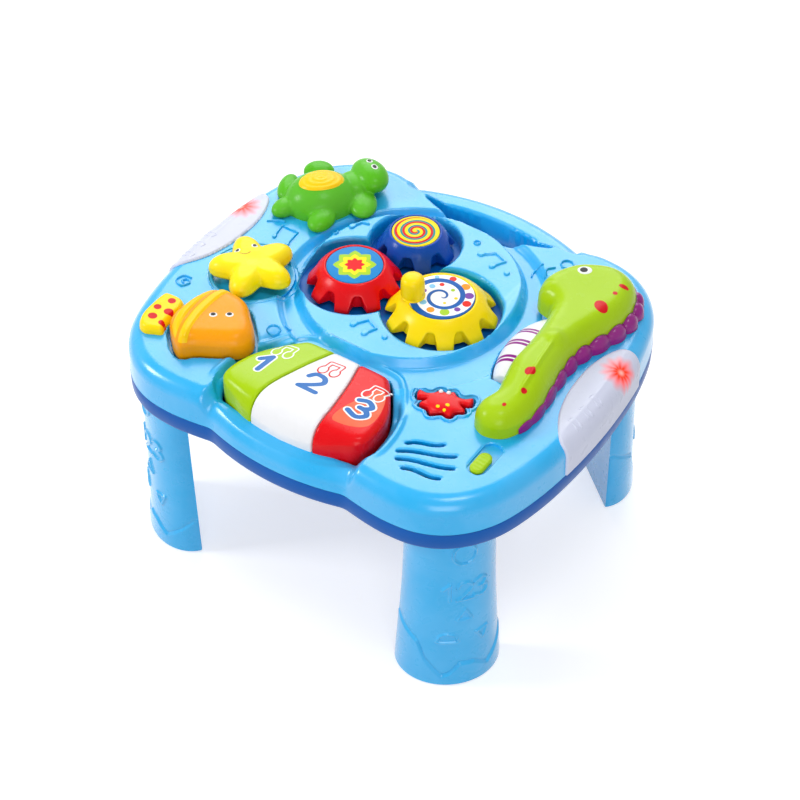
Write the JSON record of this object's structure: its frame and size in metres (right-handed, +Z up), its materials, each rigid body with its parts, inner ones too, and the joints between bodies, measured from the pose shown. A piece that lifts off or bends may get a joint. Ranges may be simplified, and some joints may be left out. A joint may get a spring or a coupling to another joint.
{
  "type": "musical activity table",
  "caption": "Low moulded activity table with meshing gears, hinged music keys, press buttons, a rolling drum, lit side windows, a carrying handle and push-in legs.",
  "frame": {"origin": "on the floor under the middle of the table's bounding box", "axes": "+Z up, -Y towards the keys, +Y towards the handle, +X towards the seahorse"},
  "size_m": [0.276, 0.247, 0.1713],
  "materials": {
    "light_blue_abs": "glossy moulded ABS",
    "dark_blue_abs": "glossy moulded ABS",
    "royal_blue_abs": "satin moulded ABS",
    "yellow_abs": "glossy moulded ABS",
    "red_abs": "glossy moulded ABS",
    "blue_abs": "glossy moulded ABS",
    "green_abs": "glossy moulded ABS",
    "lime_abs": "glossy moulded ABS",
    "white_abs": "glossy moulded ABS",
    "orange_abs": "glossy moulded ABS",
    "purple_abs": "glossy moulded ABS",
    "milky_pane": "milky translucent polypropylene",
    "dotted_print": "printed film with a spiral and dots",
    "star_print": "printed film with a star",
    "spiral_print": "printed film with a spiral",
    "striped_print": "white ABS with purple stripes",
    "red_lamp": "tinted lamp body",
    "zinc_plated_steel": "zinc plated",
    "circuit_board": "solder mask",
    "silicone_rubber": "matte silicone",
    "black_plastic": "matte"
  },
  "bodies": {
    "table": {"top_shell": "light_blue_abs", "bottom_shell": "dark_blue_abs", "gear_plate": "royal_blue_abs", "yellow_gear_screw": "zinc_plated_steel", "red_gear_screw": "zinc_plated_steel", "blue_gear_screw": "zinc_plated_steel", "key_hinge_rod": "zinc_plated_steel", "left_key_dome": "silicone_rubber", "middle_key_dome": "silicone_rubber", "right_key_dome": "silicone_rubber", "key_board": "circuit_board", "turtle_dome": "silicone_rubber", "fish_tail": "yellow_abs", "fish_dome": "silicone_rubber", "crab_dome": "silicone_rubber", "seahorse": "lime_abs", "seahorse_ridge": "purple_abs", "drum_pin": "zinc_plated_steel", "left_window": "milky_pane", "right_window": "milky_pane", "left_lamp": "red_lamp", "right_lamp": "red_lamp", "switch_body": "black_plastic", "speaker": "black_plastic", "main_board": "circuit_board", "battery_1": "black_plastic", "battery_2": "black_plastic", "battery_3": "black_plastic", "left_battery_contact": "zinc_plated_steel", "right_battery_contact": "zinc_plated_steel", "battery_door": "dark_blue_abs", "battery_door_screw": "zinc_plated_steel", "case_screw_1": "zinc_plated_steel", "case_screw_2": "zinc_plated_steel", "case_screw_3": "zinc_plated_steel", "case_screw_4": "zinc_plated_steel"},
    "yellow_gear_set": {"yellow_gear": "yellow_abs", "yellow_disc": "dotted_print", "crank_knob": "yellow_abs"},
    "red_gear_set": {"red_gear": "red_abs", "red_disc": "star_print"},
    "blue_gear_set": {"blue_gear": "blue_abs", "blue_disc": "spiral_print"},
    "left_key": {"left_key": "lime_abs"},
    "middle_key": {"middle_key": "white_abs"},
    "right_key": {"right_key": "red_abs"},
    "turtle": {"turtle_button": "green_abs", "turtle_shell_patch": "orange_abs"},
    "star": {"star_knob": "yellow_abs"},
    "fish": {"fish_button": "orange_abs"},
    "crab": {"crab_button": "red_abs"},
    "drum": {"belly_drum": "striped_print"},
    "slider": {"switch_slider": "lime_abs"},
    "front_left_leg": {"front_left_leg": "light_blue_abs"},
    "front_right_leg": {"front_right_leg": "light_blue_abs"},
    "rear_left_leg": {"rear_left_leg": "light_blue_abs"},
    "rear_right_leg": {"rear_right_leg": "light_blue_abs"}
  },
  "joints": [
    {"name": "yellow_gear_spin", "type": "hinge", "parent": "table", "child": "yellow_gear_set", "pos_m": [0.0202, 0.0151, 0.1456], "axis": [0, 0, 1], "continuous": true},
    {"name": "red_gear_spin", "type": "hinge", "parent": "table", "child": "red_gear_set", "pos_m": [-0.0366, 0.0107, 0.1456], "axis": [0, 0, 1], "continuous": true},
    {"name": "blue_gear_spin", "type": "hinge", "parent": "table", "child": "blue_gear_set", "pos_m": [-0.0242, 0.0557, 0.1456], "axis": [0, 0, 1], "continuous": true},
    {"name": "left_key_press", "type": "hinge", "parent": "table", "child": "left_key", "pos_m": [0, -0.052, 0.1415], "axis": [1, 0, 0], "range_deg": [0, 4.4], "stiffness_Nm_per_rad": 0.6, "springref_deg": -5.73, "deforming": ["left_key_dome"]},
    {"name": "middle_key_press", "type": "hinge", "parent": "table", "child": "middle_key", "pos_m": [0, -0.052, 0.1415], "axis": [1, 0, 0], "range_deg": [0, 4.4], "stiffness_Nm_per_rad": 0.6, "springref_deg": -5.73, "deforming": ["middle_key_dome"]},
    {"name": "right_key_press", "type": "hinge", "parent": "table", "child": "right_key", "pos_m": [0, -0.052, 0.1415], "axis": [1, 0, 0], "range_deg": [0, 4.4], "stiffness_Nm_per_rad": 0.6, "springref_deg": -5.73, "deforming": ["right_key_dome"]},
    {"name": "turtle_press", "type": "slide", "parent": "table", "child": "turtle", "axis": [0, 0, -1], "range_m": [0, 0.002], "stiffness_N_per_m": 400, "springref_m": -0.003, "deforming": ["turtle_dome"]},
    {"name": "fish_press", "type": "slide", "parent": "table", "child": "fish", "axis": [0, 0, -1], "range_m": [0, 0.002], "stiffness_N_per_m": 400, "springref_m": -0.003, "deforming": ["fish_dome"]},
    {"name": "crab_press", "type": "slide", "parent": "table", "child": "crab", "axis": [0, 0, -1], "range_m": [0, 0.002], "stiffness_N_per_m": 400, "springref_m": -0.003, "deforming": ["crab_dome"]},
    {"name": "star_spin", "type": "hinge", "parent": "table", "child": "star", "pos_m": [-0.0875, -0.019, 0.1506], "axis": [0, 0, 1], "continuous": true},
    {"name": "drum_spin", "type": "hinge", "parent": "table", "child": "drum", "pos_m": [0.0826, 0.012, 0.145], "axis": [0, 1, 0], "continuous": true},
    {"name": "switch_slide", "type": "slide", "parent": "table", "child": "slider", "axis": [0, 1, 0], "range_m": [0, 0.008]},
    {"name": "front_left_leg_pull", "type": "slide", "parent": "table", "child": "front_left_leg", "axis": [0, 0, -1], "range_m": [0, 0.014]},
    {"name": "front_right_leg_pull", "type": "slide", "parent": "table", "child": "front_right_leg", "axis": [0, 0, -1], "range_m": [0, 0.014]},
    {"name": "rear_left_leg_pull", "type": "slide", "parent": "table", "child": "rear_left_leg", "axis": [0, 0, -1], "range_m": [0, 0.014]},
    {"name": "rear_right_leg_pull", "type": "slide", "parent": "table", "child": "rear_right_leg", "axis": [0, 0, -1], "range_m": [0, 0.014]}
  ],
  "couplings": [
    {"joint": "red_gear_spin", "follows": "yellow_gear_spin", "ratio": -1.1111},
    {"joint": "blue_gear_spin", "follows": "yellow_gear_spin", "ratio": 1.4286}
  ]
}
